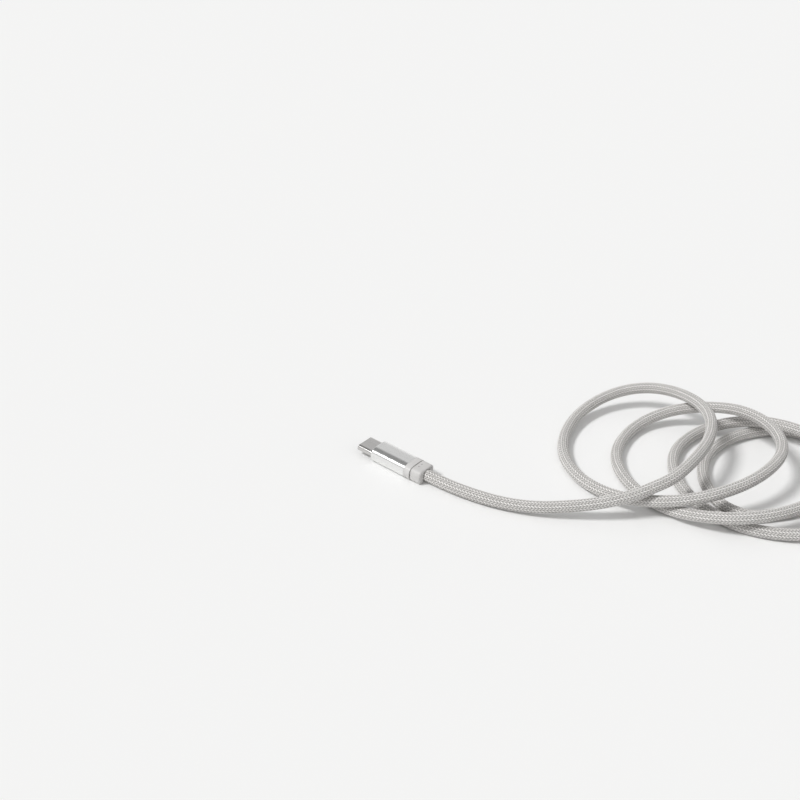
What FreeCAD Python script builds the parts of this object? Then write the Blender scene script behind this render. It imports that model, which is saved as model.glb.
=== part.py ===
"""Braided charging cable with a metal-sleeved, reversible plug on each end.

Millimetres. The near plug lies along X with its mating end towards -X, and the cord leaves it
towards +X. The origin is under the middle of the near plug, on the surface that the cable lies on.
"""
import FreeCAD, Part
import math
import os

V = FreeCAD.Vector

# Cord: the braid over its jacket
CORD_DIAMETER = 4.40
CORD_RADIUS = CORD_DIAMETER / 2.0
BRAID_THICKNESS = 0.40
JACKET_DIAMETER = CORD_DIAMETER - 2.0 * BRAID_THICKNESS
SMOOTHING = 0.45

# Plug shell: the drawn steel tongue cover that goes into a socket
SHELL_WIDTH = 8.25
SHELL_HEIGHT = 2.40
SHELL_WALL = 0.20
SHELL_REACH = 6.65
SHELL_ROOT = 2.40
SHELL_LIP = 0.12

# Aluminium sleeve: it stands out beside the shell, and above and below the cord
SLEEVE_LENGTH = 15.00
SLEEVE_SIDE = 0.675
SLEEVE_RISE = 0.60
SLEEVE_WIDTH = SHELL_WIDTH + 2.0 * SLEEVE_SIDE
SLEEVE_HEIGHT = CORD_DIAMETER + 2.0 * SLEEVE_RISE
SLEEVE_CORNER = 2.05
SLEEVE_FLAT = 3.40
SOFT_TURN = math.radians(25.0)
SLEEVE_WALL = 0.45
SLEEVE_EDGE = 0.25
MOULD_RECESS = 0.25

# Contact housing inside the shell, and the slot for the socket's tongue
HOUSING_RECESS = 0.15
SLOT_WIDTH = 6.90
SLOT_HEIGHT = 1.30
SLOT_DEPTH = 5.60
SLOT_CORNER = 0.30

# Contacts: their pitch, and the positions that a power and data cable fills, counted from the middle
CONTACT_PITCH = 0.50
CONTACT_WIDTH = 0.26
CONTACT_THICKNESS = 0.14
CONTACT_GAP = 0.80
CONTACT_TIP_BACK = 1.25
CONTACT_RAMP = 0.80
CONTACT_TOUCH = 0.40
CONTACT_ROOM = 0.02
UPPER_POSITIONS = (-5.5, -2.5, -1.5, -0.5, 0.5, 2.5, 5.5)
LOWER_POSITIONS = (-5.5, -2.5, 1.5, 2.5, 5.5)

# Latch plate: two side arms whose hooks hold the socket's tongue
LATCH_THICKNESS = 0.30
LATCH_ARM_WIDTH = 0.22
LATCH_HOOK_REACH = 0.25
LATCH_HOOK_LENGTH = 0.70
LATCH_HOOK_CREST = 0.20
LATCH_BAR_LENGTH = 0.60
LATCH_BAR_SETBACK = 1.20
LATCH_ROOM = 0.12
LATCH_SPRING_ROOM = 0.40

# Ground pads between the housing and the shell, just inside the mouth
PAD_WIDTH = 5.00
PAD_LENGTH = 0.70
PAD_THICKNESS = 0.12
PAD_SETBACK = 0.35
PAD_FINGER_WIDTH = 0.80
PAD_FINGER_LENGTH = 0.36
PAD_FINGER_REACH = 0.16

# Shield can round the card, in two halves, inside the sleeve's wall and the mould
CAN_SIDE = 0.25
CAN_COVER = 0.65
CAN_WIDTH = SLEEVE_WIDTH - 2.0 * SLEEVE_WALL - 2.0 * CAN_SIDE
CAN_HEIGHT = SLEEVE_HEIGHT - 2.0 * SLEEVE_WALL - 2.0 * CAN_COVER
CAN_CORNER = 1.20
CAN_WALL = 0.20
CAN_END_ROOM = 1.00

# Circuit card behind the housing, clear of the can
CARD_SIDE = 0.40
CARD_WIDTH = CAN_WIDTH - 2.0 * CAN_WALL - 2.0 * CARD_SIDE
CARD_LENGTH = 7.40
CARD_THICKNESS = 0.70
CARD_GAP = 0.20
CARD_NOTCH = 0.60
CONTACT_LAND = 1.40
CHIP_SIDE = 2.40
CHIP_HEIGHT = 0.60
CHIP_BEVEL = 0.10
CHIP_OFFSET = 2.30
CAPACITOR_LENGTH = 1.00
CAPACITOR_WIDTH = 0.50
CAPACITOR_HEIGHT = 0.45
CAPACITOR_SPREAD = 2.40

# Wires, from the end of the cord's jacket to their pads on the card. What is inside the jacket
# is given as shares of the jacket's diameter
POWER_WIRE = 0.28 * JACKET_DIAMETER
SIGNAL_WIRE = 0.19 * JACKET_DIAMETER
WIRE_LAND = 1.60
POWER_WIRE_Y = -0.21 * JACKET_DIAMETER
DATA_WIRE_Y = (0.13 * JACKET_DIAMETER, 0.34 * JACKET_DIAMETER)
GROUND_WIRE_Y = -0.17 * JACKET_DIAMETER
CONFIG_WIRE_Y = 0.22 * JACKET_DIAMETER

# Ferrule that clamps the cord behind the can
FERRULE_WALL = 0.35
FERRULE_ROOM = 0.20

# Plastic collar behind the sleeve
COLLAR_LENGTH = 2.55
COLLAR_EDGE = 0.12
SPIGOT_LENGTH = 0.80

# Strain relief block, and the dark groove between it and the collar
GROOVE = 0.30
NECK_STEP = 1.30
NECK_DROP = 0.70
NECK_WIDTH = SLEEVE_WIDTH - 2.0 * NECK_STEP
NECK_HEIGHT = SLEEVE_HEIGHT - 2.0 * NECK_DROP
NECK_CORNER = 1.20
BLOCK_LENGTH = 4.20
BLOCK_STEP = 0.55
BLOCK_DROP = 0.15
BLOCK_WIDTH = SLEEVE_WIDTH - 2.0 * BLOCK_STEP
BLOCK_HEIGHT = SLEEVE_HEIGHT - 2.0 * BLOCK_DROP
BLOCK_CORNER = 1.70
BLOCK_EDGE = 0.70
CORD_SOCKET_DEPTH = 1.00
CORD_SOCKET_ROOM = 0.15
DIMPLE_RADIUS = 0.28
DIMPLE_DEPTH = 0.25
DIMPLE_SPREAD = 1.75
DIMPLE_SETBACK = 1.25

# Places along the plug, from the sleeve's front face
COLLAR_FRONT = SLEEVE_LENGTH
COLLAR_REAR = COLLAR_FRONT + COLLAR_LENGTH
BLOCK_FRONT = COLLAR_REAR + GROOVE
BLOCK_REAR = BLOCK_FRONT + BLOCK_LENGTH
CORD_SEAT = BLOCK_REAR - CORD_SOCKET_DEPTH
MOULD_REAR = COLLAR_FRONT - SPIGOT_LENGTH
HOUSING_FRONT = -SHELL_REACH + HOUSING_RECESS
SLOT_END = HOUSING_FRONT + SLOT_DEPTH
CARD_FRONT = SHELL_ROOT + CARD_GAP
CARD_REAR = CARD_FRONT + CARD_LENGTH
CAN_FRONT = SHELL_ROOT
CAN_REAR = CARD_REAR + CAN_END_ROOM
FERRULE_REAR = MOULD_REAR - FERRULE_ROOM
PLUG_LENGTH = SHELL_REACH + BLOCK_REAR
AXIS_HEIGHT = SLEEVE_HEIGHT / 2.0
NEAR_FRONT = SHELL_REACH - PLUG_LENGTH / 2.0

# The sleeve's section turns through SOFT_TURN on a shoulder and on each half of a side, and through
# the rest on a corner. The shoulder's and the side's radii are what is left of its height and width
SOFT_RISE = 1.0 - math.cos(SOFT_TURN)
SOFT_REACH = math.sin(SOFT_TURN)
CORNER_REACH = SLEEVE_CORNER * (1.0 - SOFT_RISE - SOFT_REACH)
HEIGHT_LEFT = SLEEVE_HEIGHT / 2.0 - CORNER_REACH
WIDTH_LEFT = (SLEEVE_WIDTH - SLEEVE_FLAT) / 2.0 - CORNER_REACH
SOFT_SHARE = SOFT_REACH ** 2 - SOFT_RISE ** 2
SHOULDER_RADIUS = (WIDTH_LEFT * SOFT_REACH - HEIGHT_LEFT * SOFT_RISE) / SOFT_SHARE
SIDE_RADIUS = (HEIGHT_LEFT * SOFT_REACH - WIDTH_LEFT * SOFT_RISE) / SOFT_SHARE

# Lead: from the near plug to the coil. Each point is a corner of the route, (x, y, height). Its last
# corner lies straight behind the coil's start, so that the two meet in one direction
LEAD_POINTS = (
    (28.0, 0.0, AXIS_HEIGHT),
    (49.7, 7.9, 2.0),
    (68.1, 16.8, 7.4),
)
COIL_LEAD_IN = 8.8

# Coil: where it starts, as (x, y, height, heading, climb), and the far points of its loops in the
# order that the cord meets them, four to a turn: its right side, far side, left side and near side.
# The last turn has one more, where the cord bends away under the loops. A heading is in degrees from
# +X towards +Y, and a climb is the rise over the level distance.
COIL_START = (83.1, 35.7, 12.0, 64.3, 0.17)
COIL_TURNS = (
    ((87.7, 59.2, 14.5, 89.0, 0.10), (62.8, 96.7, 13.9, 177.0, -0.07),
     (36.7, 61.2, 5.5, 276.0, -0.23), (81.3, 35.9, 6.0, 17.0, 0.22)),
    ((110.7, 78.4, 15.2, 93.0, 0.01), (80.1, 104.4, 11.3, 179.0, -0.30),
     (57.5, 61.0, 4.5, 286.0, -0.05), (95.5, 42.0, 4.2, 4.0, 0.24)),
    ((130.4, 87.1, 8.8, 86.0, 0.01), (102.2, 112.9, 8.7, 184.0, -0.07),
     (74.2, 79.6, 4.7, 269.0, -0.06), (100.5, 51.2, 2.3, 351.0, -0.03)),
    ((144.5, 84.0, 8.1, 90.0, 0.01), (115.0, 123.2, 2.8, 175.0, -0.02),
     (83.5, 90.4, 2.2, 265.5, 0.00), (98.7, 59.6, 2.2, 328.6, 0.00), (115.1, 62.1, 2.2, 52.9, 0.00)),
)

# Tail: from the coil, straight on to its first corner, to the far plug, and the way that plug points
TAIL_LEAD_OUT = 7.8
TAIL_POINTS = (
    (125.2, 79.5, 2.2),
    (132.5, 91.3, 2.2),
    (146.5, 98.6, 2.3),
)
FAR_SEAT = (172.8, 97.0)
FAR_TURN = -6.0
FAR_STRAIGHT = 13.2

# Points of the coil nearer than this along it are neighbours, and don't count in its least gap
LOOP_APART = 25.0


def rounded_face(width, height, corner, x):
    """A rounded rectangle across the plug, centred on its axis, at one place along it."""
    y = width / 2.0
    z = height / 2.0
    r = min(corner, y, z)
    slant = r * (1.0 - math.sqrt(0.5))
    stations = (
        (V(x, y, r - z), V(x, y, z - r), V(x, y - slant, z - slant), V(x, y - r, z)),
        (V(x, y - r, z), V(x, r - y, z), V(x, slant - y, z - slant), V(x, -y, z - r)),
        (V(x, -y, z - r), V(x, -y, r - z), V(x, slant - y, slant - z), V(x, r - y, -z)),
        (V(x, r - y, -z), V(x, y - r, -z), V(x, y - slant, slant - z), V(x, y, r - z)),
    )
    edges = []
    for start, corner_start, corner_middle, corner_end in stations:
        if start.distanceToPoint(corner_start) > 1e-6:
            edges.append(Part.LineSegment(start, corner_start).toShape())
        edges.append(Part.Arc(corner_start, corner_middle, corner_end).toShape())
    return Part.Face(Part.Wire(edges))


def rounded_bar(width, height, corner, start, end):
    """A bar of rounded section from one place along the plug to another."""
    return rounded_face(width, height, corner, start).extrude(V(end - start, 0, 0))


def sleeve_face(inset, x):
    """The sleeve's soft section at one place along the plug, drawn in all round by an inset."""
    side_y = SLEEVE_WIDTH / 2.0 - SIDE_RADIUS
    corner_y = side_y + (SIDE_RADIUS - SLEEVE_CORNER) * math.cos(SOFT_TURN)
    corner_z = (SIDE_RADIUS - SLEEVE_CORNER) * math.sin(SOFT_TURN)
    shoulder_y = SLEEVE_FLAT / 2.0
    shoulder_z = SLEEVE_HEIGHT / 2.0 - SHOULDER_RADIUS
    quarter = math.pi / 2.0
    arcs = (
        (side_y, 0.0, SIDE_RADIUS, -SOFT_TURN, SOFT_TURN),
        (corner_y, corner_z, SLEEVE_CORNER, SOFT_TURN, quarter - SOFT_TURN),
        (shoulder_y, shoulder_z, SHOULDER_RADIUS, quarter - SOFT_TURN, quarter),
        (-shoulder_y, shoulder_z, SHOULDER_RADIUS, quarter, quarter + SOFT_TURN),
        (-corner_y, corner_z, SLEEVE_CORNER, quarter + SOFT_TURN, 2.0 * quarter - SOFT_TURN),
    )
    edges = []
    for half in (1, -1):
        for y, z, radius, start, end in arcs:
            points = []
            for angle in (start, (start + end) / 2.0, end):
                across = y + (radius - inset) * math.cos(angle)
                up = z + (radius - inset) * math.sin(angle)
                points.append(V(x, half * across, half * up))
            edges.append(Part.Arc(*points).toShape())
            if end == quarter:
                flat_end = V(x, -half * shoulder_y, points[2].z)
                edges.append(Part.LineSegment(points[2], flat_end).toShape())
    return Part.Face(Part.Wire(edges))


def sleeve_bar(inset, start, end):
    """A bar of the sleeve's section, drawn in by an inset, from one place along the plug to another."""
    return sleeve_face(inset, start).extrude(V(end - start, 0, 0))


def block(x_range, y_range, z_range):
    """A box between three pairs of limits."""
    sizes = [high - low for low, high in (x_range, y_range, z_range)]
    return Part.makeBox(*sizes, V(x_range[0], y_range[0], z_range[0]))


def rod(radius, start, end, y=0.0, z=0.0):
    """A round bar along the plug."""
    return Part.makeCylinder(radius, end - start, V(start, y, z), V(1, 0, 0))


def edges_at(shape, x):
    """The edges of a shape that lie wholly at one place along the plug."""
    found = []
    for edge in shape.Edges:
        box = edge.BoundBox
        if abs(box.XMin - x) < 1e-6 and abs(box.XMax - x) < 1e-6:
            found.append(edge)
    return found


def make_shell():
    """The drawn shell: a tube of full-round section with a softened mouth."""
    outer = rounded_bar(SHELL_WIDTH, SHELL_HEIGHT, SHELL_HEIGHT / 2.0, -SHELL_REACH, SHELL_ROOT)
    outer = outer.makeFillet(SHELL_LIP, edges_at(outer, -SHELL_REACH))
    inner_width = SHELL_WIDTH - 2.0 * SHELL_WALL
    inner_height = SHELL_HEIGHT - 2.0 * SHELL_WALL
    return outer.cut(rounded_bar(inner_width, inner_height, inner_height / 2.0, -SHELL_REACH, SHELL_ROOT))


def contact_height():
    """The height of a contact's middle where it lies in the housing."""
    return SLOT_HEIGHT / 2.0 + CONTACT_THICKNESS / 2.0


def make_contact(position, side):
    """One spring contact: a tail on the card, a root in the housing and a bowed arm in the slot."""
    half = CONTACT_THICKNESS / 2.0
    card_level = CARD_THICKNESS / 2.0 + half
    root_level = contact_height()
    touch_level = CONTACT_GAP / 2.0 + half
    tip = HOUSING_FRONT + CONTACT_TIP_BACK
    middle_line = (
        (CARD_FRONT + CONTACT_LAND, card_level),
        (CARD_FRONT, card_level),
        (SHELL_ROOT, root_level),
        (SLOT_END, root_level),
        (tip + CONTACT_RAMP + CONTACT_TOUCH, touch_level),
        (tip + CONTACT_RAMP, touch_level),
        (tip, root_level - CONTACT_THICKNESS),
    )
    above = [V(x, 0, side * (z + half)) for x, z in middle_line]
    below = [V(x, 0, side * (z - half)) for x, z in reversed(middle_line)]
    outline = Part.makePolygon(above + below + above[:1])
    y = position * CONTACT_PITCH
    strip = Part.Face(outline).extrude(V(0, CONTACT_WIDTH, 0))
    strip.translate(V(0, y - CONTACT_WIDTH / 2.0, 0))
    return strip


def make_latch():
    """The latch plate: a bar across the housing's root and a hooked arm on each side of the slot."""
    outer_y = SHELL_WIDTH / 2.0 - SHELL_WALL - LATCH_ROOM
    inner_y = outer_y - LATCH_ARM_WIDTH
    tip = HOUSING_FRONT + CONTACT_TIP_BACK
    bar_end = SLOT_END + LATCH_BAR_SETBACK + LATCH_BAR_LENGTH
    crest_start = tip + (LATCH_HOOK_LENGTH - LATCH_HOOK_CREST) / 2.0
    z_range = (-LATCH_THICKNESS / 2.0, LATCH_THICKNESS / 2.0)
    plate = block((bar_end - LATCH_BAR_LENGTH, bar_end), (-outer_y, outer_y), z_range)
    for side in (-1, 1):
        arm_y = sorted((side * inner_y, side * outer_y))
        arm = block((tip, bar_end), arm_y, z_range)
        hook_corners = (
            V(tip, side * inner_y, z_range[0]),
            V(tip + LATCH_HOOK_LENGTH, side * inner_y, z_range[0]),
            V(crest_start + LATCH_HOOK_CREST, side * (inner_y - LATCH_HOOK_REACH), z_range[0]),
            V(crest_start, side * (inner_y - LATCH_HOOK_REACH), z_range[0]),
            V(tip, side * inner_y, z_range[0]),
        )
        hook = Part.Face(Part.makePolygon(hook_corners)).extrude(V(0, 0, LATCH_THICKNESS))
        plate = plate.fuse([arm, hook])
    return plate.removeSplitter()


def make_pad(side):
    """One ground pad: a plate under the shell, with two fingers through the housing's wall."""
    outer_z = SHELL_HEIGHT / 2.0 - SHELL_WALL
    start = HOUSING_FRONT + PAD_SETBACK
    plate_z = sorted((side * (outer_z - PAD_THICKNESS), side * outer_z))
    pad = block((start, start + PAD_LENGTH), (-PAD_WIDTH / 2.0, PAD_WIDTH / 2.0), plate_z)
    finger_z = sorted((side * (SLOT_HEIGHT / 2.0 - PAD_FINGER_REACH), side * outer_z))
    finger_start = start + (PAD_LENGTH - PAD_FINGER_LENGTH) / 2.0
    for finger_y in (-PAD_WIDTH / 4.0, PAD_WIDTH / 4.0):
        y_range = (finger_y - PAD_FINGER_WIDTH / 2.0, finger_y + PAD_FINGER_WIDTH / 2.0)
        pad = pad.fuse(block((finger_start, finger_start + PAD_FINGER_LENGTH), y_range, finger_z))
    return pad.removeSplitter()


def make_housing(contacts, latch, pads):
    """The moulded contact housing: it fills the shell, and is cut for the tongue and what it carries."""
    width = SHELL_WIDTH - 2.0 * SHELL_WALL
    height = SHELL_HEIGHT - 2.0 * SHELL_WALL
    housing = rounded_bar(width, height, height / 2.0, HOUSING_FRONT, SHELL_ROOT)
    slot = rounded_bar(SLOT_WIDTH, SLOT_HEIGHT, SLOT_CORNER, HOUSING_FRONT, SLOT_END)
    cuts = [slot, latch] + contacts + pads
    arm_start = HOUSING_FRONT + CONTACT_TIP_BACK - LATCH_ROOM
    latch_half = LATCH_THICKNESS / 2.0 + LATCH_ROOM
    for side in (-1, 1):
        y_range = sorted((side * (SLOT_WIDTH / 2.0 - LATCH_SPRING_ROOM), side * width / 2.0))
        cuts.append(block((arm_start, SLOT_END), y_range, (-latch_half, latch_half)))
    groove_half = CONTACT_WIDTH / 2.0 + CONTACT_ROOM
    groove_top = contact_height() + CONTACT_THICKNESS / 2.0
    for side, positions in ((1, UPPER_POSITIONS), (-1, LOWER_POSITIONS)):
        for position in positions:
            y = position * CONTACT_PITCH
            z_range = sorted((side * CONTACT_GAP / 2.0, side * groove_top))
            cuts.append(block((arm_start, SLOT_END), (y - groove_half, y + groove_half), z_range))
    return housing.cut(cuts)


def make_card():
    """The circuit card, notched at its front corners."""
    card = block((CARD_FRONT, CARD_REAR), (-CARD_WIDTH / 2.0, CARD_WIDTH / 2.0),
                 (-CARD_THICKNESS / 2.0, CARD_THICKNESS / 2.0))
    notches = []
    for side in (-1, 1):
        y_range = sorted((side * (CARD_WIDTH / 2.0 - CARD_NOTCH), side * CARD_WIDTH / 2.0))
        notches.append(block((CARD_FRONT, CARD_FRONT + CARD_NOTCH), y_range,
                             (-CARD_THICKNESS, CARD_THICKNESS)))
    return card.cut(notches)


def make_chip():
    """The marker chip on the card's upper side."""
    start = CARD_FRONT + CHIP_OFFSET
    level = CARD_THICKNESS / 2.0
    chip = block((start, start + CHIP_SIDE), (-CHIP_SIDE / 2.0, CHIP_SIDE / 2.0),
                 (level, level + CHIP_HEIGHT))
    top_edges = [edge for edge in chip.Edges if edge.BoundBox.ZMin > level + CHIP_HEIGHT - 1e-6]
    return chip.makeChamfer(CHIP_BEVEL, top_edges)


def make_capacitors():
    """Bypass capacitors: one on each side of the chip, and one under the card."""
    centre_x = CARD_FRONT + CHIP_OFFSET + CHIP_SIDE / 2.0
    level = CARD_THICKNESS / 2.0
    solids = []
    for y, side in ((-CAPACITOR_SPREAD, 1), (CAPACITOR_SPREAD, 1), (0.0, -1)):
        z_range = sorted((side * level, side * (level + CAPACITOR_HEIGHT)))
        solids.append(block((centre_x - CAPACITOR_LENGTH / 2.0, centre_x + CAPACITOR_LENGTH / 2.0),
                            (y - CAPACITOR_WIDTH / 2.0, y + CAPACITOR_WIDTH / 2.0), z_range))
    return Part.makeCompound(solids)


def make_wire(diameter, y, side):
    """One wire's end, lying on its pad on the card and reaching back into the cord's jacket."""
    radius = diameter / 2.0
    return rod(radius, CARD_REAR - WIRE_LAND, CAN_REAR, y, side * (CARD_THICKNESS / 2.0 + radius))


def make_can():
    """The shield can: an open-fronted box with a round way out for the wires, before it is halved."""
    outer = rounded_bar(CAN_WIDTH, CAN_HEIGHT, CAN_CORNER, CAN_FRONT, CAN_REAR)
    inner = rounded_bar(CAN_WIDTH - 2.0 * CAN_WALL, CAN_HEIGHT - 2.0 * CAN_WALL, CAN_CORNER - CAN_WALL,
                        CAN_FRONT, CAN_REAR - CAN_WALL)
    way_out = rod(JACKET_DIAMETER / 2.0, CAN_REAR - CAN_WALL, CAN_REAR)
    return outer.cut([inner, way_out])


def make_can_half(side):
    """The upper or lower half of the shield can."""
    z_range = sorted((0.0, side * CAN_HEIGHT))
    return make_can().common(block((CAN_FRONT, CAN_REAR), (-CAN_WIDTH, CAN_WIDTH), z_range))


def make_ferrule():
    """The crimped ring that holds the cord's shield on its jacket."""
    outer = rod(JACKET_DIAMETER / 2.0 + FERRULE_WALL, CAN_REAR, FERRULE_REAR)
    return outer.cut(rod(JACKET_DIAMETER / 2.0, CAN_REAR, FERRULE_REAR))


def make_mould():
    """The inner mould: it fills the sleeve round the shell, the can and the ferrule."""
    mould = sleeve_bar(SLEEVE_WALL, MOULD_RECESS, MOULD_REAR)
    shell = rounded_bar(SHELL_WIDTH, SHELL_HEIGHT, SHELL_HEIGHT / 2.0, 0.0, SHELL_ROOT)
    can = rounded_bar(CAN_WIDTH, CAN_HEIGHT, CAN_CORNER, CAN_FRONT, CAN_REAR)
    ferrule = rod(JACKET_DIAMETER / 2.0 + FERRULE_WALL, CAN_REAR, FERRULE_REAR)
    jacket = rod(JACKET_DIAMETER / 2.0, CAN_REAR, COLLAR_FRONT)
    return mould.cut([shell, can, ferrule, jacket])


def make_sleeve():
    """The aluminium sleeve, with softened ends."""
    outer = sleeve_bar(0.0, 0.0, SLEEVE_LENGTH)
    outer = outer.makeFillet(SLEEVE_EDGE, edges_at(outer, 0.0))
    return outer.cut(sleeve_bar(SLEEVE_WALL, 0.0, SLEEVE_LENGTH))


def make_collar():
    """The collar: a ring that carries on the sleeve's outline, with a spigot inside it."""
    ring = sleeve_bar(0.0, COLLAR_FRONT, COLLAR_REAR)
    ring = ring.makeFillet(COLLAR_EDGE, edges_at(ring, COLLAR_FRONT) + edges_at(ring, COLLAR_REAR))
    spigot = sleeve_bar(SLEEVE_WALL, MOULD_REAR, COLLAR_FRONT + COLLAR_EDGE)
    neck = rounded_bar(NECK_WIDTH, NECK_HEIGHT, NECK_CORNER, MOULD_REAR, COLLAR_REAR)
    return ring.fuse(spigot).cut(neck).removeSplitter()


def make_relief():
    """The strain relief: a block with soft rear edges, two dimples, a neck and the cord's socket."""
    body = rounded_bar(BLOCK_WIDTH, BLOCK_HEIGHT, BLOCK_CORNER, BLOCK_FRONT, BLOCK_REAR)
    body = body.makeFillet(BLOCK_EDGE, edges_at(body, BLOCK_REAR))
    neck = rounded_bar(NECK_WIDTH, NECK_HEIGHT, NECK_CORNER, MOULD_REAR, BLOCK_FRONT + BLOCK_EDGE)
    bore = rod(JACKET_DIAMETER / 2.0, MOULD_REAR, BLOCK_REAR)
    socket = rod(CORD_RADIUS + CORD_SOCKET_ROOM, CORD_SEAT, BLOCK_REAR)
    dimple_x = BLOCK_FRONT + DIMPLE_SETBACK
    dimple_z = BLOCK_HEIGHT / 2.0 - DIMPLE_DEPTH
    dimples = []
    for y in (-DIMPLE_SPREAD / 2.0, DIMPLE_SPREAD / 2.0):
        dimples.append(Part.makeCylinder(DIMPLE_RADIUS, BLOCK_HEIGHT, V(dimple_x, y, dimple_z), V(0, 0, 1)))
    return body.fuse(neck).cut([bore, socket] + dimples).removeSplitter()


def make_plug():
    """Every piece of one plug, in the plug's own frame."""
    upper = [make_contact(position, 1) for position in UPPER_POSITIONS]
    lower = [make_contact(position, -1) for position in LOWER_POSITIONS]
    latch = make_latch()
    pads = [make_pad(side) for side in (1, -1)]
    data_wires = [make_wire(SIGNAL_WIRE, y, 1) for y in DATA_WIRE_Y]
    return {
        "plug_shell": make_shell(),
        "contact_housing": make_housing(upper + lower, latch, pads),
        "upper_contacts": Part.makeCompound(upper),
        "lower_contacts": Part.makeCompound(lower),
        "latch_plate": latch,
        "ground_pads": Part.makeCompound(pads),
        "circuit_card": make_card(),
        "marker_chip": make_chip(),
        "capacitors": make_capacitors(),
        "power_wire": make_wire(POWER_WIRE, POWER_WIRE_Y, 1),
        "ground_wire": make_wire(POWER_WIRE, GROUND_WIRE_Y, -1),
        "data_wires": Part.makeCompound(data_wires),
        "config_wire": make_wire(SIGNAL_WIRE, CONFIG_WIRE_Y, -1),
        "upper_shield": make_can_half(1),
        "lower_shield": make_can_half(-1),
        "crimp_ferrule": make_ferrule(),
        "inner_mould": make_mould(),
        "cord_jacket": rod(JACKET_DIAMETER / 2.0, CAN_REAR, CORD_SEAT),
        "metal_sleeve": make_sleeve(),
        "collar": make_collar(),
        "strain_relief": make_relief(),
    }


def arc_between(start, corner, end):
    """The arc that leaves start towards corner and reaches end from it, both equally far from corner."""
    middle = (start + end) * 0.5
    rise = corner - middle
    half_chord = start.distanceToPoint(middle)
    if rise.Length < 1e-6 * half_chord:
        return Part.LineSegment(start, end).toShape()
    half_turn = math.atan2(rise.Length, half_chord)
    top = middle + rise * (half_chord * math.tan(half_turn / 2.0) / rise.Length)
    return Part.Arc(start, top, end).toShape()


def biarc(start, start_way, end, end_way):
    """Two arcs that meet smoothly, from start along start_way to end along end_way."""
    span = end - start
    ways = start_way + end_way
    spread = 2.0 * (1.0 - start_way.dot(end_way))
    along = span.dot(ways)
    reach = (math.sqrt(along * along + spread * span.dot(span)) - along) / spread
    first_corner = start + start_way * reach
    last_corner = end - end_way * reach
    joint = (first_corner + last_corner) * 0.5
    return [arc_between(start, first_corner, joint), arc_between(joint, last_corner, end)]


def smooth_route(points, name):
    """Straight runs joined by arcs, each as large as its two runs allow."""
    edges = []
    here = points[0]
    radii = []
    for before, corner, after in zip(points, points[1:], points[2:]):
        back = before - corner
        ahead = after - corner
        run = min(back.Length, ahead.Length)
        turn = math.pi - back.getAngle(ahead)
        cut = SMOOTHING * run
        radii.append(cut / math.tan(turn / 2.0))
        arc_start = corner + back * (cut / back.Length)
        arc_end = corner + ahead * (cut / ahead.Length)
        edges.append(Part.LineSegment(here, arc_start).toShape())
        edges.append(arc_between(arc_start, corner, arc_end))
        here = arc_end
    edges.append(Part.LineSegment(here, points[-1]).toShape())
    print(name, "radii", [round(radius, 1) for radius in radii])
    return Part.Wire(edges)


def climbing(heading, climb):
    """The unit direction of a heading in degrees, tipped up by a climb."""
    angle = math.radians(heading)
    way = V(math.cos(angle), math.sin(angle), climb)
    return way * (1.0 / way.Length)


def coil_route():
    """The coil's middle line, straight at both ends and biarcs between, and each end's place and way."""
    x, y, z, heading, climb = COIL_START
    start = V(x, y, z)
    start_way = climbing(heading, climb)
    way = start_way
    here = start + way * CORD_DIAMETER
    edges = [Part.LineSegment(start, here).toShape()]
    for turn in COIL_TURNS:
        for x, y, z, heading, climb in turn:
            next_way = climbing(heading, climb)
            edges += biarc(here, way, V(x, y, z), next_way)
            here = V(x, y, z)
            way = next_way
    end = here + way * CORD_DIAMETER
    edges.append(Part.LineSegment(here, end).toShape())
    return Part.Wire(edges), start, start_way, end, way


def make_tube(route, name):
    """A round tube along a route, with its volume set against its section times its length."""
    first_edge = route.OrderedEdges[0]
    begin = first_edge.FirstParameter
    ring = Part.Wire(Part.makeCircle(CORD_RADIUS, first_edge.valueAt(begin), first_edge.tangentAt(begin)))
    tube = route.makePipeShell([ring], True, False)
    expected = math.pi * CORD_RADIUS ** 2 * route.Length
    print(name, "length", round(route.Length, 1), "volume over expected", round(tube.Volume / expected, 4))
    return tube


def least_gap(first, second, apart):
    """The least gap between two cords' surfaces. On one cord, only points that far apart along it count."""
    step = 1.0
    first_points = first.discretize(Number=int(first.Length / step))
    second_points = second.discretize(Number=int(second.Length / step))
    least = None
    for i, a in enumerate(first_points):
        for j, b in enumerate(second_points):
            if apart and abs(i - j) * step < apart:
                continue
            gap = a.distanceToPoint(b) - CORD_DIAMETER
            if least is None or gap < least:
                least = gap
    return least


def place_far_plug(shape, seat):
    """Turn a piece of the far plug about the upright axis and set it at the end of the tail."""
    placed = shape.copy()
    placed.translate(V(-CORD_SEAT, 0, 0))
    placed.rotate(V(0, 0, 0), V(0, 0, 1), 180.0 + FAR_TURN)
    placed.translate(seat)
    return placed


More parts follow.
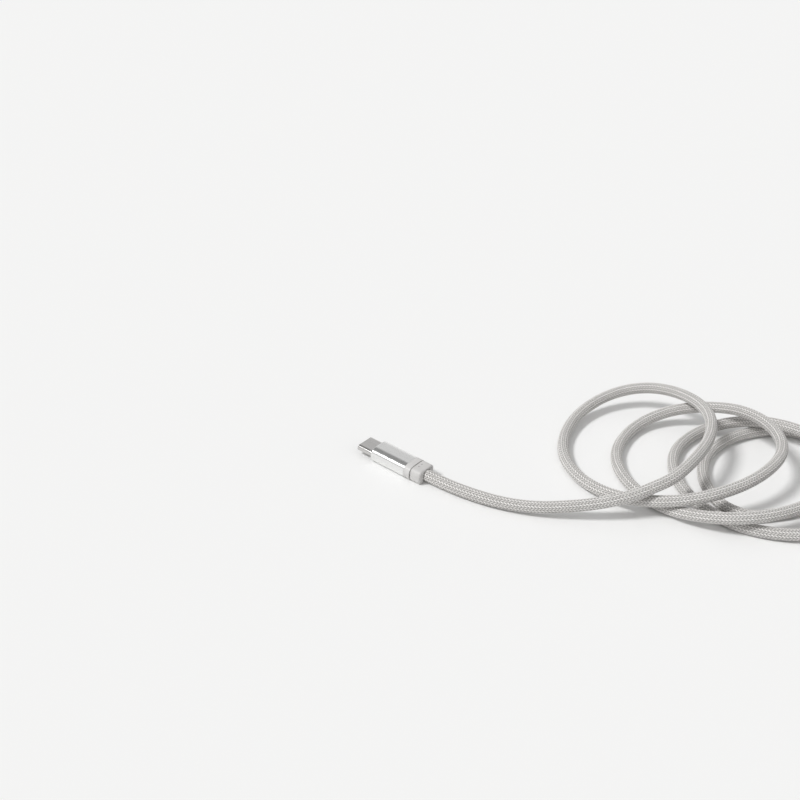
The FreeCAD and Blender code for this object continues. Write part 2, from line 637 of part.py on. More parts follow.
def main():
    os.makedirs("parts", exist_ok=True)
    nodes = {}
    plug = make_plug()
    for name, shape in plug.items():
        near = shape.copy()
        near.translate(V(NEAR_FRONT, 0, AXIS_HEIGHT))
        nodes["near_" + name] = near
    far_seat = V(FAR_SEAT[0], FAR_SEAT[1], AXIS_HEIGHT)
    for name, shape in plug.items():
        nodes["far_" + name] = place_far_plug(shape, far_seat)

    lead_start = V(NEAR_FRONT + CORD_SEAT, 0, AXIS_HEIGHT)
    coil, coil_start, start_way, coil_end, end_way = coil_route()
    lead_corners = [V(*point) for point in LEAD_POINTS] + [coil_start - start_way * COIL_LEAD_IN]
    lead = smooth_route([lead_start] + lead_corners + [coil_start], "lead")
    angle = math.radians(FAR_TURN)
    straight_in = far_seat - V(math.cos(angle), math.sin(angle), 0) * FAR_STRAIGHT
    tail_corners = [coil_end + end_way * TAIL_LEAD_OUT] + [V(*point) for point in TAIL_POINTS]
    tail = smooth_route([coil_end] + tail_corners + [straight_in, far_seat], "tail")
    nodes["cord_lead"] = make_tube(lead, "lead")
    nodes["cord_coil"] = make_tube(coil, "coil")
    nodes["cord_tail"] = make_tube(tail, "tail")
    print("cord length", round(lead.Length + coil.Length + tail.Length, 1))
    print("least gap of the coil to itself", round(least_gap(coil, coil, LOOP_APART), 2))

    for name, shape in nodes.items():
        shape.exportStep("parts/" + name + ".step")


main()
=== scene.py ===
"""The looks of a braided charging cable: its cord, its finishes, and a plain studio. Metres."""

import math

import bpy
import numpy as np
from mathutils import Matrix, Vector


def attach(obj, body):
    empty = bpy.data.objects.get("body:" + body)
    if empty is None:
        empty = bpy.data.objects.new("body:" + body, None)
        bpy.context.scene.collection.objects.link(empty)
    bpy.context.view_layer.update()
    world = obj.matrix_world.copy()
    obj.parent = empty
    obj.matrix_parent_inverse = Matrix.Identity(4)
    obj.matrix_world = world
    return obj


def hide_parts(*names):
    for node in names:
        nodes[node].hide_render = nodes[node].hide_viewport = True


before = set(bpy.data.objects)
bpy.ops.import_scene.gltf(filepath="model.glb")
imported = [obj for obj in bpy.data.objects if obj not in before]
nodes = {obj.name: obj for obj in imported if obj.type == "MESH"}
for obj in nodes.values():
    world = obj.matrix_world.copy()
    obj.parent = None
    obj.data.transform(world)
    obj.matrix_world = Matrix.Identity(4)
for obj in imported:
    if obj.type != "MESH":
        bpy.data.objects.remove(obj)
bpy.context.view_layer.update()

MM = 0.001

# Camera: where it stands, and the way it looks, as the ways of its right and its upper side
CAMERA_PLACE = (0.216314, -0.295861, 0.261843)
CAMERA_RIGHT = (0.78299, 0.61913, 0.06004)
CAMERA_UP = (-0.37374, 0.39109, 0.84105)
CAMERA_LENS = 55.717
CAMERA_SENSOR = 36.0
CAMERA_NEAR = 0.01
CAMERA_FAR = 20.0

# Cord, in millimetres: the solid's route, whose heights are set anew below
CORD_DIAMETER = 4.40
LEAD_POINTS = (
    (13.35, 0.0, 2.8),
    (28.0, 0.0, 2.8),
    (49.7, 7.9, 2.0),
    (68.1, 16.8, 7.4),
)
COIL_LEAD_IN = 8.8
# The coil's start and the far points of its loops: (x, y, height, heading in degrees, climb)
COIL_START = (83.1, 35.7, 12.0, 64.3, 0.17)
COIL_TURNS = (
    ((87.7, 59.2, 14.5, 89.0, 0.10), (62.8, 96.7, 13.9, 177.0, -0.07),
     (36.7, 61.2, 5.5, 276.0, -0.23), (81.3, 35.9, 6.0, 17.0, 0.22)),
    ((110.7, 78.4, 15.2, 93.0, 0.01), (80.1, 104.4, 11.3, 179.0, -0.30),
     (57.5, 61.0, 4.5, 286.0, -0.05), (95.5, 42.0, 4.2, 4.0, 0.24)),
    ((130.4, 87.1, 8.8, 86.0, 0.01), (102.2, 112.9, 8.7, 184.0, -0.07),
     (74.2, 79.6, 4.7, 269.0, -0.06), (100.5, 51.2, 2.3, 351.0, -0.03)),
    ((144.5, 84.0, 8.1, 90.0, 0.01), (115.0, 123.2, 2.8, 175.0, -0.02),
     (83.5, 90.4, 2.2, 265.5, 0.00), (98.7, 59.6, 2.2, 328.6, 0.00), (115.1, 62.1, 2.2, 52.9, 0.00)),
)
TAIL_LEAD_OUT = 7.8
TAIL_POINTS = (
    (125.2, 79.5, 2.2),
    (132.5, 91.3, 2.2),
    (146.5, 98.6, 2.3),
    (159.67, 98.38, 2.8),
    (172.8, 97.0, 2.8),
)
QUARTER_POINTS = 6
# The spline passes inside each of its points by this share of the bend there
SPLINE_CUT = 1 / 8
SPLINE_STEPS = 16
# How near two points are, in metres, when they count as one
SAME_PLACE = 1e-7
# How high the cord's middle lies where each rise and fall begins and ends, as (distance along the
# solid's route, height)
ROUTE_LENGTH = 966.2
HEIGHTS = (
    (0, 2.8), (34, 2.6), (112, 15.2), (130, 15.2),
    (222, 2.2), (234, 2.2), (326, 14.0), (350, 14.0),
    (418, 2.2), (456, 2.2), (500, 8.2), (572, 8.8),
    (622, 2.2), (690, 2.2), (734, 7.8), (760, 7.8),
    (804, 2.2), (940, 2.2), (956, 2.8), (967, 2.8),
)

# Braid: columns of slanted floats round the cord, and how far apart the floats are along it
COLUMNS = 16
COLUMN_POINTS = 2
FLOAT_RINGS = 3
END_RINGS = 6
BAKE_STRIPS = 8
BAKE_MARGIN = 0.04
YARN_PITCH = 1.17 * MM
YARN_RELIEF = 0.16 * MM
# How much of the relief is left at a column's edges
SEAM_BULGE = 0.35

# Yarn: its colours and tones, then where painted shade darkens a float and where its back falls away,
# as shares of the way from its middle to its ends (at its gaps) or to its column's edges (where it
# dives)
YARN_LIGHT = (0.95, 0.93, 0.91)
# The grey: a float's random darker tone, and the painted loss of sheen on every other column
YARN_GREY_AND_DULL_SHEEN = (0.68, 0.665, 0.645)
YARN_GAP_SHADE = (0.18, 0.17, 0.16)
YARN_ROUGHNESS = 0.62
COLUMN_SHEEN_TONE = 0.6
CHANCE_TONE = 0.4
GAP_SHADE_FADE = (0.55, 0.98)
GAP_POWER = 2.5
DIVE_SHADE_FADE = (0.62, 1.0)
DIVE_POWER = 3.0
DIVE_SHADE = 0.8
FILAMENTS = 5
FILAMENT_HEIGHT = 0.06
YARN_BUMP = 0.9

# Plastics by piece: (material, light colour, dark colour, roughness, grain's depth in millimetres)
PLASTICS = {
    "collar": ("collar_plastic", (0.66, 0.65, 0.64), (0.62, 0.61, 0.60), 0.42, 0.002),
    "strain_relief": ("relief_plastic", (0.64, 0.63, 0.62), (0.60, 0.59, 0.58), 0.48, 0.004),
    "contact_housing": ("housing_plastic", (0.045, 0.045, 0.048), (0.035, 0.035, 0.037), 0.4, 0.002),
    "inner_mould": ("mould_plastic", (0.55, 0.54, 0.52), (0.5, 0.49, 0.47), 0.5, 0.003),
    "cord_jacket": ("jacket_rubber", (0.50, 0.49, 0.48), (0.46, 0.45, 0.44), 0.55, 0.003),
    "marker_chip": ("chip_plastic", (0.02, 0.02, 0.021), (0.03, 0.03, 0.031), 0.5, 0.002),
    "capacitors": ("capacitor_ceramic", (0.36, 0.25, 0.15), (0.30, 0.20, 0.12), 0.4, 0.002),
    "power_wire": ("power_insulation", (0.45, 0.02, 0.02), (0.40, 0.015, 0.015), 0.4, 0.002),
    "ground_wire": ("ground_insulation", (0.02, 0.02, 0.02), (0.03, 0.03, 0.03), 0.4, 0.002),
    "data_wires": ("data_insulation", (0.60, 0.60, 0.58), (0.55, 0.55, 0.53), 0.4, 0.002),
    "config_wire": ("config_insulation", (0.02, 0.12, 0.45), (0.02, 0.10, 0.40), 0.4, 0.002),
}
PLASTIC_SPREAD = 0.04
PLASTIC_SCALE = 5000.0
PLASTIC_MOTTLE = 350.0
PLASTIC_FADE = (0.3, 0.7)

# Grained metals by piece: (material, colour, roughness, its spread, grain's depth in millimetres,
# scale of the mottle)
GRAINED_METALS = {
    "metal_sleeve": ("sleeve_aluminium", (0.86, 0.86, 0.85), 0.23, 0.03, 0.0003, 500.0),
    "upper_contacts": ("contact_gold", (0.80, 0.58, 0.26), 0.22, 0.05, 0.001, 900.0),
    "ground_pads": ("pad_steel", (0.60, 0.59, 0.58), 0.28, 0.05, 0.001, 900.0),
}
GRAIN_SCALE = 9000.0

# Drawn metals by piece, each with lines along its plug: (material, colour, roughness)
DRAWN_METALS = {
    "plug_shell": ("shell_steel", (0.62, 0.61, 0.60), 0.22),
    "latch_plate": ("latch_steel", (0.56, 0.55, 0.54), 0.3),
    "upper_shield": ("shield_brass", (0.74, 0.60, 0.34), 0.32),
}
# How far their roughness strays, and how deep their lines are, in millimetres
DRAWN_SPREAD = 0.05
DRAWN_DEPTH = 0.002
METAL_FADE = (0.2, 0.8)
STREAK_FADE = (0.35, 0.65)

# Pieces with another piece's finish
TWINS = {
    "lower_contacts": "upper_contacts",
    "lower_shield": "upper_shield",
    "crimp_ferrule": "upper_shield",
}

# Circuit card
CARD_COLOUR = (0.02, 0.16, 0.05)
CARD_SHADE = (0.02, 0.19, 0.06)
CARD_ROUGHNESS = 0.3
TRACK_COLOUR = (0.06, 0.32, 0.10)
TRACK_SCALE = 900.0
TRACK_WIDTH = 0.03
TRACK_DEPTH = 0.03 * MM

# How each plug is turned about the upright axis, in radians
PLUG_TURNS = {"near": 0.0, "far": math.radians(6.0)}

# Studio: the floor and the key light
FLOOR_SIZE = 6.0
FLOOR_MIDDLE = (0.08, 0.05, 0.0)
FLOOR_COLOUR = (0.93, 0.93, 0.925)
FLOOR_ROUGHNESS = 0.9
KEY_WAY = (-0.327, -0.562, 0.760)
KEY_ANGLE = math.radians(13.0)
KEY_STRENGTH = 1.87
# The sky as the camera and metal see it, and between which heights or depths its colours change
SKY_NEAR = (0.52, 0.52, 0.52)
SKY_FAR = (0.72, 0.72, 0.72)
FAR_FADE = (-0.9, 0.2)
SKY_HORIZON = (0.93, 0.93, 0.925)
HORIZON_FADE = (0.2, 0.32)
SKY_TOP = (0.27, 0.27, 0.27)
TOP_FADE = (0.63, 0.73)
# The sky as it lights everything else
SKY_LOW = (0.38, 0.38, 0.38)
SKY_HIGH = (0.61, 0.61, 0.61)
HIGH_FADE = (0.3, 0.9)


def make_camera():
    """The camera, set by the ways of its axes."""
    data = bpy.data.cameras.new("camera")
    data.lens = CAMERA_LENS
    data.sensor_width = CAMERA_SENSOR
    data.clip_start = CAMERA_NEAR
    data.clip_end = CAMERA_FAR
    camera = bpy.data.objects.new("camera", data)
    bpy.context.scene.collection.objects.link(camera)
    right = Vector(CAMERA_RIGHT)
    up = Vector(CAMERA_UP)
    back = right.cross(up)
    turn = Matrix((right, up, back)).transposed()
    camera.matrix_world = Matrix.Translation(CAMERA_PLACE) @ turn.to_4x4()
    bpy.context.scene.camera = camera


def way_of(heading, climb):
    """The unit direction of a heading in degrees, tipped up by a climb."""
    angle = math.radians(heading)
    return Vector((math.cos(angle), math.sin(angle), climb)).normalized()


def quarter(start, start_way, end, end_way):
    """The points of one sweep of a loop, from just after its start to its end."""
    turn = start_way.angle(end_way)
    chord = (end - start).length
    pull = chord / math.cos(turn / 4.0) ** 2
    points = []
    for step in range(1, QUARTER_POINTS + 1):
        t = step / QUARTER_POINTS
        points.append(
            start * (1 + 2 * t) * (1 - t) ** 2
            + start_way * pull * t * (1 - t) ** 2
            + end * t * t * (3 - 2 * t)
            - end_way * pull * t * t * (1 - t)
        )
    return points


def coil_points():
    """The coil's points, straight at both ends, the rest stood out by what the spline cuts inside."""
    x, y, z, heading, climb = COIL_START
    way = way_of(heading, climb)
    here = Vector((x, y, z)) + way * CORD_DIAMETER
    before_coil = here - way * (CORD_DIAMETER + COIL_LEAD_IN)
    points = [here]
    for turn in COIL_TURNS:
        for x, y, z, heading, climb in turn:
            next_way = way_of(heading, climb)
            there = Vector((x, y, z))
            points += quarter(here, way, there, next_way)
            here = there
            way = next_way
    after_coil = here + way * (CORD_DIAMETER + TAIL_LEAD_OUT)
    stood_out = [points[0]]
    for before, point, after in zip(points, points[1:], points[2:]):
        stood_out.append(point - (before - 2 * point + after) * SPLINE_CUT)
    return [before_coil] + stood_out + [points[-1], after_coil]


def run_along(points):
    """How far each point is from the first, along them all."""
    return np.concatenate(([0.0], np.cumsum(np.linalg.norm(np.diff(points, axis=0), axis=1))))


def settle(points):
    """Lay the route's points at their heights, each moved along the line from the camera to it."""
    points = np.array(points)
    run = run_along(points)
    run *= ROUTE_LENGTH / run[-1]
    marks, levels = np.array(HEIGHTS).T
    last = np.clip(np.searchsorted(marks, run, side="right") - 1, 0, len(marks) - 2)
    t = np.clip((run - marks[last]) / (marks[last + 1] - marks[last]), 0.0, 1.0)
    height = levels[last] + (levels[last + 1] - levels[last]) * t * t * (3 - 2 * t)
    eye = np.array(CAMERA_PLACE) / MM
    share = (height - eye[2]) / (points[:, 2] - eye[2])
    return eye + (points - eye) * share[:, None]


def make_route():
    """The cord's one spline, from the near plug to the far one, as points that the braid follows."""
    points = [Vector(point) for point in LEAD_POINTS]
    points += coil_points()
    points += [Vector(point) for point in TAIL_POINTS]
    points = settle(points)
    curve = bpy.data.curves.new("cord_route", "CURVE")
    curve.dimensions = "3D"
    spline = curve.splines.new("NURBS")
    spline.points.add(len(points) - 1)
    for spline_point, point in zip(spline.points, points):
        spline_point.co = (*(point * MM), 1.0)
    spline.order_u = 3
    spline.use_endpoint_u = True
    spline.resolution_u = SPLINE_STEPS
    holder = bpy.data.objects.new("cord_route", curve)
    bpy.context.scene.collection.objects.link(holder)
    bpy.context.view_layer.update()
    evaluated = holder.evaluated_get(bpy.context.evaluated_depsgraph_get())
    line = bpy.data.meshes.new_from_object(evaluated)
    path = np.array([vertex.co for vertex in line.vertices], float)
    bpy.data.meshes.remove(line)
    bpy.data.objects.remove(holder)
    bpy.data.curves.remove(curve)
    return path


def sweep_frames(path):
    """The path with no point twice, the run to each point, and two ways across that don't twist."""
    steps = np.linalg.norm(np.diff(path, axis=0), axis=1)
    path = path[np.concatenate(([True], steps > SAME_PLACE))]
    run = run_along(path)
    along = np.gradient(path, run, axis=0)
    along /= np.linalg.norm(along, axis=1)[:, None]
    across = np.empty_like(path)
    side = np.cross((0.0, 0.0, 1.0), along[0])
    for i, way in enumerate(along):
        side = side - way * side.dot(way)
        side /= np.linalg.norm(side)
        across[i] = side
    return path, run, across, np.cross(along, across)


def face_corners(grid):
    """The values of a grid at the four corners of each of its faces."""
    return np.stack([grid[:-1, :-1], grid[:-1, 1:], grid[1:, 1:], grid[1:, :-1]], axis=2)


def lay_flat(mesh, name, corners, around):
    """An unwrapping of the braid: the side faces by their corners, and both ends at one point."""
    ends = np.zeros((2 * around, 2))
    flat = mesh.uv_layers.new(name=name)
    places = np.concatenate((corners.reshape(-1, 2), ends))
    flat.uv.foreach_set("vector", places.astype(np.float32).ravel())


def lay_strips(mesh, rings, around):
    """A second unwrapping of the braid, cut into strips that fill a square side by side."""
    ring = np.arange(rings)
    strip = ring * BAKE_STRIPS // rings
    first = np.searchsorted(strip, np.arange(BAKE_STRIPS))
    count = np.bincount(strip, minlength=BAKE_STRIPS)
    start = ((ring - first[strip]) / count[strip])[:, None]
    end = ((ring + 1 - first[strip]) / count[strip])[:, None]
    across = BAKE_MARGIN + (1.0 - 2.0 * BAKE_MARGIN) * np.arange(around + 1) / around
    level = (strip[:, None] + across[None, :]) / BAKE_STRIPS
    low, high = level[:, :-1], level[:, 1:]
    corners = [np.stack([far * np.ones_like(low), side], axis=-1)
               for far, side in ((start, low), (start, high), (end, high), (end, low))]
    lay_flat(mesh, "OFBake", np.stack(corners, axis=2), around)


def braid_tube(path):
    """The braid: a tube whose rings zigzag with the yarns, so that each float stands proud."""
    path, run, side_way, up_way = sweep_frames(path)
    length = run[-1]
    pitches = round(length / YARN_PITCH)
    pitch = length / pitches
    rings = pitches * FLOAT_RINGS
    around = COLUMNS * COLUMN_POINTS
    ring = np.arange(rings + 1)[:, None]
    spot = np.arange(around + 1)[None, :]
    column = spot // COLUMN_POINTS
    inside = (spot % COLUMN_POINTS) / COLUMN_POINTS
    slant = np.where(column % 2 == 0, inside, 1.0 - inside)
    ease = np.clip(np.minimum(ring, rings - ring) / END_RINGS, 0.0, 1.0)
    place = ring / FLOAT_RINGS + (slant - 0.5) * ease
    crest = np.sin(np.pi * (ring % FLOAT_RINGS) / FLOAT_RINGS) * np.ones_like(inside)
    bulge = np.where(inside == 0.0, SEAM_BULGE, 1.0)
    radius = 0.5 * CORD_DIAMETER * MM - YARN_RELIEF * (1.0 - crest * bulge)
    angle = 2.0 * np.pi * spot / around * np.ones_like(place)
    far = np.clip(place * pitch, 0.0, length)

    def read(values):
        return np.stack([np.interp(far, run, values[:, axis]) for axis in range(3)], axis=-1)

    spoke = np.cos(angle)[..., None] * read(side_way) + np.sin(angle)[..., None] * read(up_way)
    points = read(path) + spoke * radius[..., None]
    corners = points[:, :around].reshape(-1, 3)
    faces = face_corners(ring * around + spot % around).reshape(-1, 4).tolist()
    faces.append(list(range(around))[::-1])
    faces.append(list(range(rings * around, (rings + 1) * around)))
    mesh = bpy.data.meshes.new("braided_cord")
    mesh.from_pydata(corners.tolist(), [], faces)
    mesh.update()
    laid = np.stack([spot / COLUMN_POINTS * np.ones_like(place), place], axis=-1)
    lay_flat(mesh, "weave", face_corners(laid), around)
    lay_strips(mesh, rings, around)
    for polygon in mesh.polygons:
        polygon.use_smooth = True
    cord = bpy.data.objects.new("braided_cord", mesh)
    bpy.context.scene.collection.objects.link(cord)
    return cord, path


# Finishes


def new_material(name, colour, roughness, **settings):
    """A material with its shader's plain values set, as (material, tree, shader)."""
    material = bpy.data.materials.new(name)
    material.use_nodes = True
    tree = material.node_tree
    shader = tree.nodes["Principled BSDF"]
    shader.inputs["Base Color"].default_value = (*colour, 1.0)
    shader.inputs["Roughness"].default_value = roughness
    for socket, value in settings.items():
        shader.inputs[socket.replace("_", " ")].default_value = value
    return material, tree, shader


def math_node(tree, operation, *values):
    """A math node fed by numbers or sockets; its result."""
    node = tree.nodes.new("ShaderNodeMath")
    node.operation = operation
    for socket, value in zip(node.inputs, values):
        if isinstance(value, (int, float)):
            socket.default_value = value
        else:
            tree.links.new(value, socket)
    return node.outputs["Value"]


def blend_colours(tree, mask, low, high):
    """A mix of two colours by a mask; each may be a colour or a socket."""
    node = tree.nodes.new("ShaderNodeMix")
    node.data_type = "RGBA"
    tree.links.new(mask, node.inputs["Factor"])
    for socket, value in ((node.inputs["A"], low), (node.inputs["B"], high)):
        if isinstance(value, tuple):
            socket.default_value = (*value, 1.0)
        else:
            tree.links.new(value, socket)
    return node.outputs["Result"]


def smooth_step(tree, value, low, high, start=0.0, end=1.0):
    """A value taken smoothly from one range to another."""
    node = tree.nodes.new("ShaderNodeMapRange")
    node.interpolation_type = "SMOOTHSTEP"
    tree.links.new(value, node.inputs["Value"])
    node.inputs["From Min"].default_value = low
    node.inputs["From Max"].default_value = high
    node.inputs["To Min"].default_value = start
    node.inputs["To Max"].default_value = end
    return node.outputs["Result"]


def new_group(name, inputs, outputs):
    """A group of shader nodes that takes numbers (name, value) and gives numbers (name)."""
    group = bpy.data.node_groups.new(name, "ShaderNodeTree")
    kind = "NodeSocketFloat"
    for socket, value in inputs:
        made = group.interface.new_socket(name=socket, in_out="INPUT", socket_type=kind)
        made.default_value = value
    for socket in outputs:
        group.interface.new_socket(name=socket, in_out="OUTPUT", socket_type=kind)
    return group, group.nodes.new("NodeGroupInput"), group.nodes.new("NodeGroupOutput")


def make_fine_grain():
    """A fine even grain, as on moulded plastic or blasted metal: its height and a slow mottle."""
    group, given, made = new_group(
        "fine_grain", (("Scale", 4000.0), ("Mottle Scale", 300.0)), ("Height", "Mottle")
    )
    place = group.nodes.new("ShaderNodeTexCoord").outputs["Object"]
    for scale, output in (("Scale", "Height"), ("Mottle Scale", "Mottle")):
        node = group.nodes.new("ShaderNodeTexNoise")
        node.inputs["Detail"].default_value = 3.0
        group.links.new(place, node.inputs["Vector"])
        group.links.new(given.outputs[scale], node.inputs["Scale"])
        group.links.new(node.outputs["Fac"], made.inputs[output])
    return group


def make_drawn_lines():
    """Fine lines along a metal part, as its drawing or rolling leaves them."""
    group, given, made = new_group(
        "drawn_lines", (("Turn", 0.0), ("Scale", 6000.0), ("Stretch", 0.02)), ("Height", "Streak")
    )
    place = group.nodes.new("ShaderNodeTexCoord").outputs["Object"]
    turned = group.nodes.new("ShaderNodeVectorRotate")
    turned.rotation_type = "Z_AXIS"
    group.links.new(place, turned.inputs["Vector"])
    group.links.new(given.outputs["Turn"], turned.inputs["Angle"])
    parts = group.nodes.new("ShaderNodeSeparateXYZ")
    group.links.new(turned.outputs["Vector"], parts.inputs["Vector"])
    squeezed = math_node(group, "MULTIPLY", parts.outputs["X"], given.outputs["Stretch"])
    joined = group.nodes.new("ShaderNodeCombineXYZ")
    group.links.new(squeezed, joined.inputs["X"])
    group.links.new(parts.outputs["Y"], joined.inputs["Y"])
    group.links.new(parts.outputs["Z"], joined.inputs["Z"])
    node = group.nodes.new("ShaderNodeTexNoise")
    node.inputs["Detail"].default_value = 4.0
    group.links.new(joined.outputs["Vector"], node.inputs["Vector"])
    group.links.new(given.outputs["Scale"], node.inputs["Scale"])
    group.links.new(node.outputs["Fac"], made.inputs["Height"])
    group.links.new(smooth_step(group, node.outputs["Fac"], *STREAK_FADE), made.inputs["Streak"])
    return group


def place_group(tree, group, **values):
    """A group placed in a material, with its own values."""
    node = tree.nodes.new("ShaderNodeGroup")
    node.node_tree = group
    for socket, value in values.items():
        node.inputs[socket.replace("_", " ")].default_value = value
    return node


def bump(tree, shader, height, distance, strength=1.0):
    """Raise a shader's surface by a height, over a distance in metres."""
    node = tree.nodes.new("ShaderNodeBump")
    node.inputs["Distance"].default_value = distance
    node.inputs["Strength"].default_value = strength
    tree.links.new(height, node.inputs["Height"])
    tree.links.new(node.outputs["Normal"], shader.inputs["Normal"])


def make_braid_material():
    """Woven yarn: slanted floats in columns, two ways by turns, with painted shade in the gaps
    between.
    """
    material, tree, shader = new_material(
        "braid_yarn", YARN_LIGHT, YARN_ROUGHNESS,
        Specular_IOR_Level=0.35, Sheen_Weight=0.15, Sheen_Roughness=0.4,
    )
    weave = tree.nodes.new("ShaderNodeUVMap")
    weave.uv_map = "weave"
    parts = tree.nodes.new("ShaderNodeSeparateXYZ")
    tree.links.new(weave.outputs["UV"], parts.inputs["Vector"])
    round_cord = parts.outputs["X"]
    along_cord = parts.outputs["Y"]
    column = math_node(tree, "FLOOR", round_cord)
    inside = math_node(tree, "FRACT", round_cord)
    odd = math_node(tree, "MODULO", column, 2.0)
    mirrored = math_node(tree, "SUBTRACT", 1.0, inside)
    swing = math_node(tree, "SUBTRACT", mirrored, inside)
    slant = math_node(tree, "MULTIPLY_ADD", odd, swing, inside)
    shifted = math_node(tree, "SUBTRACT", along_cord, slant)
    centred = math_node(tree, "ADD", shifted, 0.5)
    beat = math_node(tree, "FRACT", centred)
    number = math_node(tree, "FLOOR", centred)
    from_crest = math_node(tree, "ABSOLUTE", math_node(tree, "MULTIPLY_ADD", beat, 2.0, -1.0))
    from_middle = math_node(tree, "ABSOLUTE", math_node(tree, "MULTIPLY_ADD", inside, 2.0, -1.0))
    # Painted shade: a float darkens towards its gaps and where it dives under the next column
    gap_shade_mask = smooth_step(tree, from_crest, *GAP_SHADE_FADE)
    dive_shade_mask = smooth_step(tree, from_middle, *DIVE_SHADE_FADE)
    shade = math_node(tree, "MAXIMUM", gap_shade_mask, math_node(tree, "MULTIPLY", dive_shade_mask, DIVE_SHADE))
    # Painted sheen: every other column is greyer, and each float is a little lighter or darker than
    # the next
    spread = tree.nodes.new("ShaderNodeCombineXYZ")
    tree.links.new(column, spread.inputs["X"])
    tree.links.new(number, spread.inputs["Y"])
    chance = tree.nodes.new("ShaderNodeTexWhiteNoise")
    chance.noise_dimensions = "2D"
    tree.links.new(spread.outputs["Vector"], chance.inputs["Vector"])
    chance_tone = math_node(tree, "MULTIPLY", chance.outputs["Value"], CHANCE_TONE)
    sheen_and_chance_tone = math_node(tree, "MULTIPLY_ADD", odd, COLUMN_SHEEN_TONE, chance_tone)
    yarn = blend_colours(tree, sheen_and_chance_tone, YARN_LIGHT, YARN_GREY_AND_DULL_SHEEN)
    tree.links.new(blend_colours(tree, shade, yarn, YARN_GAP_SHADE), shader.inputs["Base Color"])
    # The float's rounded back, and the filaments along it
    crown = math_node(tree, "SUBTRACT", 1.0, math_node(tree, "POWER", from_crest, GAP_POWER))
    fallen = math_node(tree, "SUBTRACT", 1.0, math_node(tree, "POWER", from_middle, DIVE_POWER))
    body = math_node(tree, "MULTIPLY", crown, fallen)
    filament = math_node(tree, "SINE", math_node(tree, "MULTIPLY", beat, 2.0 * math.pi * FILAMENTS))
    height = math_node(tree, "MULTIPLY_ADD", filament, FILAMENT_HEIGHT, body)
    bump(tree, shader, height, YARN_RELIEF, YARN_BUMP)
    return material


def make_satin_metal(name, colour, roughness, group, depth, spread, **values):
    """A metal with the grain or lines of a group in its roughness and surface."""
    material, tree, shader = new_material(name, colour, roughness, Metallic=1.0)
    placed = place_group(tree, group, **values)
    # The second thing that a group gives: its mottle or its streaks
    mask = placed.outputs[1]
    rough = smooth_step(tree, mask, *METAL_FADE, roughness - spread, roughness + spread)
    tree.links.new(rough, shader.inputs["Roughness"])
    bump(tree, shader, placed.outputs["Height"], depth * MM)
    return material


def make_plastic(name, light, dark, roughness, depth):
    """A moulded plastic: a fine grain in its surface and a slow mottle in its colour."""
    material, tree, shader = new_material(name, light, roughness)
    placed = place_group(tree, fine_grain, Scale=PLASTIC_SCALE, Mottle_Scale=PLASTIC_MOTTLE)
    mottle = placed.outputs["Mottle"]
    mask = smooth_step(tree, mottle, *PLASTIC_FADE)
    tree.links.new(blend_colours(tree, mask, light, dark), shader.inputs["Base Color"])
    smooth = roughness - PLASTIC_SPREAD
    rough = roughness + PLASTIC_SPREAD
    tree.links.new(smooth_step(tree, mottle, *PLASTIC_FADE, smooth, rough), shader.inputs["Roughness"])
    bump(tree, shader, placed.outputs["Height"], depth * MM)
    return material


def make_card_material():
    """The circuit card's laminate: green solder mask over copper tracks."""
    material, tree, shader = new_material(
        "card_laminate", CARD_COLOUR, CARD_ROUGHNESS, Coat_Weight=0.4
    )
    place = tree.nodes.new("ShaderNodeTexCoord").outputs["Object"]
    tracks = tree.nodes.new("ShaderNodeTexBrick")
    tracks.inputs["Scale"].default_value = TRACK_SCALE
    tracks.inputs["Mortar Size"].default_value = TRACK_WIDTH
    tracks.inputs["Color1"].default_value = (*CARD_COLOUR, 1.0)
    tracks.inputs["Color2"].default_value = (*CARD_SHADE, 1.0)
    tracks.inputs["Mortar"].default_value = (*TRACK_COLOUR, 1.0)
    tree.links.new(place, tracks.inputs["Vector"])
    tree.links.new(tracks.outputs["Color"], shader.inputs["Base Color"])
    bump(tree, shader, tracks.outputs["Fac"], TRACK_DEPTH)
    return material


def make_shared_finishes():
    """The finishes that are the same on both plugs, by piece."""
    made = {piece: make_plastic(*look) for piece, look in PLASTICS.items()}
    for piece, (name, colour, roughness, spread, depth, mottle) in GRAINED_METALS.items():
        made[piece] = make_satin_metal(
            name, colour, roughness, fine_grain, depth, spread, Scale=GRAIN_SCALE, Mottle_Scale=mottle
        )
    made["circuit_card"] = make_card_material()
    return made


def finish_nodes():
    """Give every piece of both plugs its finish; the lines on drawn metal turn with their plug."""
    shared = make_shared_finishes()
    for end, turn in PLUG_TURNS.items():
        made = dict(shared)
        for piece, (name, colour, roughness) in DRAWN_METALS.items():
            made[piece] = make_satin_metal(
                end + "_" + name, colour, roughness, drawn_lines, DRAWN_DEPTH, DRAWN_SPREAD, Turn=turn
            )
        for twin, piece in TWINS.items():
            made[twin] = made[piece]
        for piece, material in made.items():
            for slot in nodes[end + "_" + piece].material_slots:
                slot.material = material


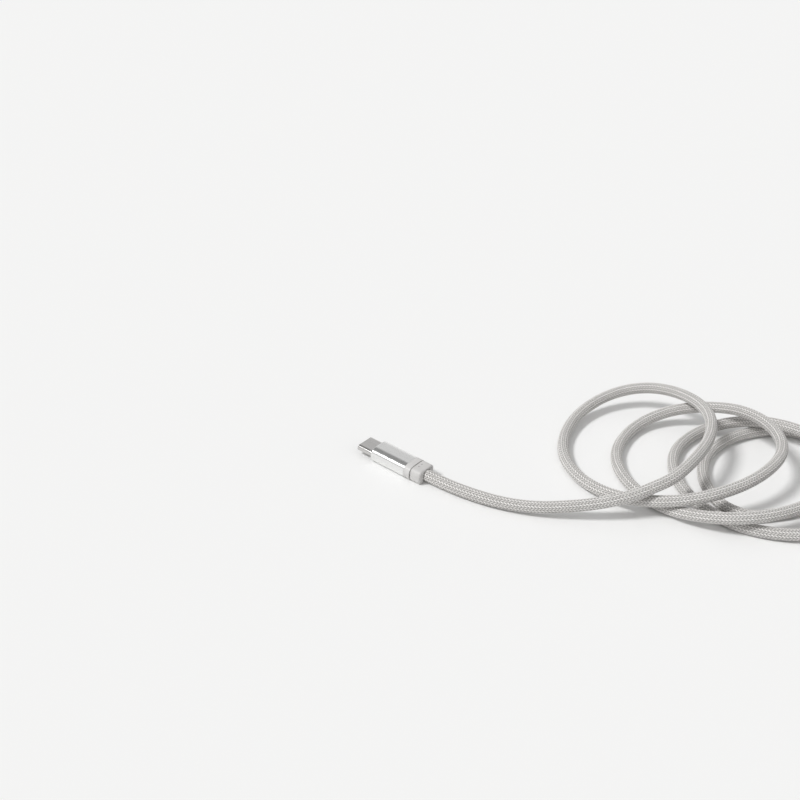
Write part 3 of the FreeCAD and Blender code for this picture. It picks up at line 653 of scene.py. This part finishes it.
def make_floor():
    """A pale floor that keeps the part's shadow."""
    bpy.ops.mesh.primitive_plane_add(size=FLOOR_SIZE, location=FLOOR_MIDDLE)
    floor = bpy.context.active_object
    floor.name = "floor"
    paper = new_material("floor_paper", FLOOR_COLOUR, FLOOR_ROUGHNESS, Specular_IOR_Level=0.0)[0]
    floor.data.materials.append(paper)


def make_light():
    """A key light from the front left, and a sky that lights softly and is seen as a plain studio."""
    lamp = bpy.data.lights.new("key", "SUN")
    lamp.energy = KEY_STRENGTH
    lamp.angle = KEY_ANGLE
    key = bpy.data.objects.new("key", lamp)
    bpy.context.scene.collection.objects.link(key)
    key.rotation_mode = "QUATERNION"
    key.rotation_quaternion = Vector(KEY_WAY).to_track_quat("Z", "Y")
    world = bpy.data.worlds.new("studio")
    bpy.context.scene.world = world
    world.use_nodes = True
    tree = world.node_tree
    sky = tree.nodes["Background"]
    way = tree.nodes.new("ShaderNodeTexCoord").outputs["Generated"]
    parts = tree.nodes.new("ShaderNodeSeparateXYZ")
    tree.links.new(way, parts.inputs["Vector"])
    height = parts.outputs["Z"]
    ahead = smooth_step(tree, parts.outputs["Y"], *FAR_FADE)
    sides = blend_colours(tree, ahead, SKY_NEAR, SKY_FAR)
    lower = blend_colours(tree, smooth_step(tree, height, *HORIZON_FADE), SKY_HORIZON, sides)
    shown = blend_colours(tree, smooth_step(tree, height, *TOP_FADE), lower, SKY_TOP)
    soft = blend_colours(tree, smooth_step(tree, height, *HIGH_FADE), SKY_LOW, SKY_HIGH)
    rays = tree.nodes.new("ShaderNodeLightPath")
    seen = math_node(tree, "MAXIMUM", rays.outputs["Is Camera Ray"], rays.outputs["Is Glossy Ray"])
    tree.links.new(blend_colours(tree, seen, soft, shown), sky.inputs["Color"])
    sky.inputs["Strength"].default_value = 1.0


make_camera()
bpy.ops.object.select_all(action="DESELECT")
cord, cord_line = braid_tube(make_route())
cord.data.materials.append(make_braid_material())
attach(cord, "root")
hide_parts("cord_lead", "cord_coil", "cord_tail")

fine_grain = make_fine_grain()
drawn_lines = make_drawn_lines()
finish_nodes()
make_floor()
make_light()
bpy.context.scene.view_settings.view_transform = "Standard"
